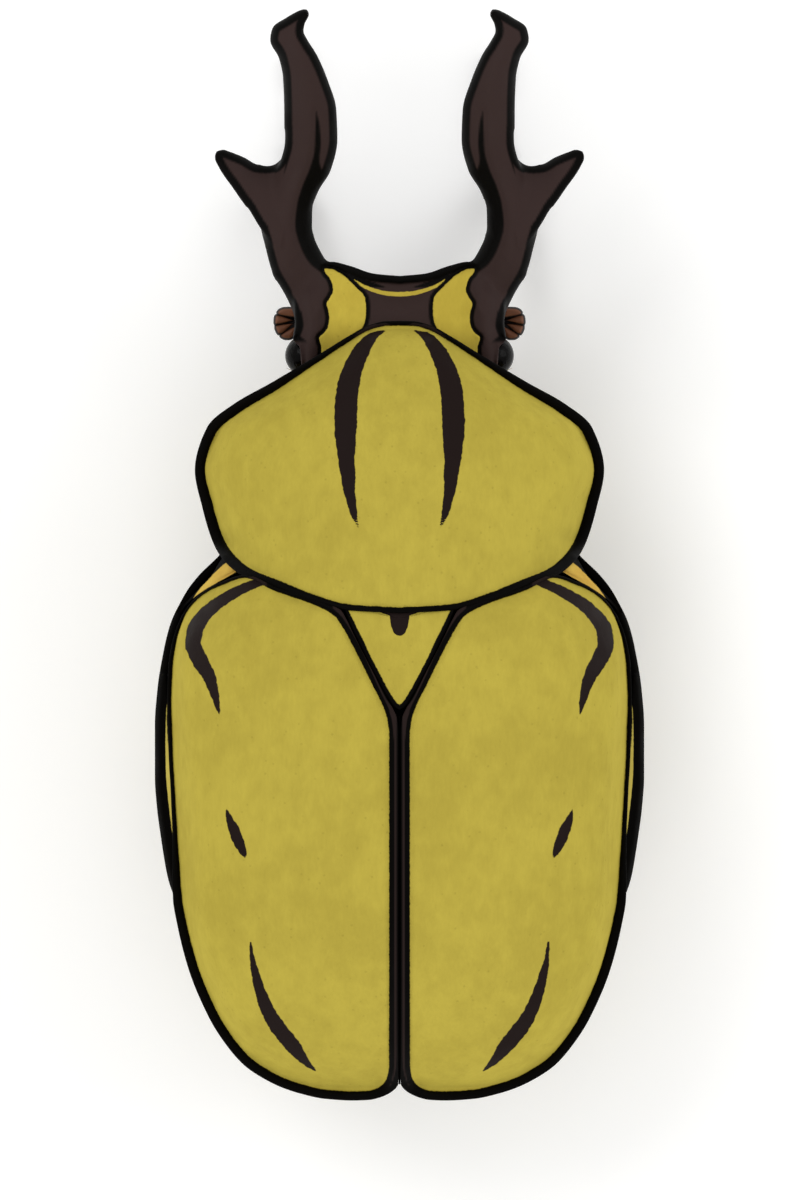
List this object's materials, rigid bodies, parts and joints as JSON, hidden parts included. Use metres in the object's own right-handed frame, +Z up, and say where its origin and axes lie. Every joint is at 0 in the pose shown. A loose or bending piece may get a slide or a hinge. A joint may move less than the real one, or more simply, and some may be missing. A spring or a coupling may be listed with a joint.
{
  "type": "dicronocephalus wallichii flower beetle",
  "caption": "Still, life-size male antler-horned flower beetle that stands with its legs drawn in beneath the body: forked dark horns, domed shield and closed yellow wing cases.",
  "frame": {"origin": "on the floor, under the middle of the whole length from the horn tips to the ends of the wing cases", "axes": "-Y the way the head points, +X the beetle's left side, +Z up"},
  "size_m": [0.0142, 0.0317, 0.0115],
  "materials": {
    "yellow_down": "velvety",
    "shoulder_plate": "velvety",
    "dark_cuticle": "satin",
    "antenna": "satin",
    "eye": "glossy"
  },
  "bodies": {
    "root": {"abdomen": "dark_cuticle", "antenna_left": "antenna", "antenna_right": "antenna", "elytron_left": "yellow_down", "elytron_right": "yellow_down", "eye_left": "eye", "eye_right": "eye", "femur_fore_left": "dark_cuticle", "femur_fore_right": "dark_cuticle", "femur_hind_left": "dark_cuticle", "femur_hind_right": "dark_cuticle", "femur_mid_left": "dark_cuticle", "femur_mid_right": "dark_cuticle", "head": "dark_cuticle", "horn_left": "dark_cuticle", "horn_right": "dark_cuticle", "mesepimeron_left": "shoulder_plate", "mesepimeron_right": "shoulder_plate", "metathorax": "dark_cuticle", "mouthparts": "dark_cuticle", "pronotum": "yellow_down", "prosternum": "dark_cuticle", "pygidium": "yellow_down", "scutellum": "yellow_down", "tarsus_fore_left": "dark_cuticle", "tarsus_fore_right": "dark_cuticle", "tarsus_hind_left": "dark_cuticle", "tarsus_hind_right": "dark_cuticle", "tarsus_mid_left": "dark_cuticle", "tarsus_mid_right": "dark_cuticle", "tibia_fore_left": "dark_cuticle", "tibia_fore_right": "dark_cuticle", "tibia_hind_left": "dark_cuticle", "tibia_hind_right": "dark_cuticle", "tibia_mid_left": "dark_cuticle", "tibia_mid_right": "dark_cuticle"}
  },
  "joints": []
}
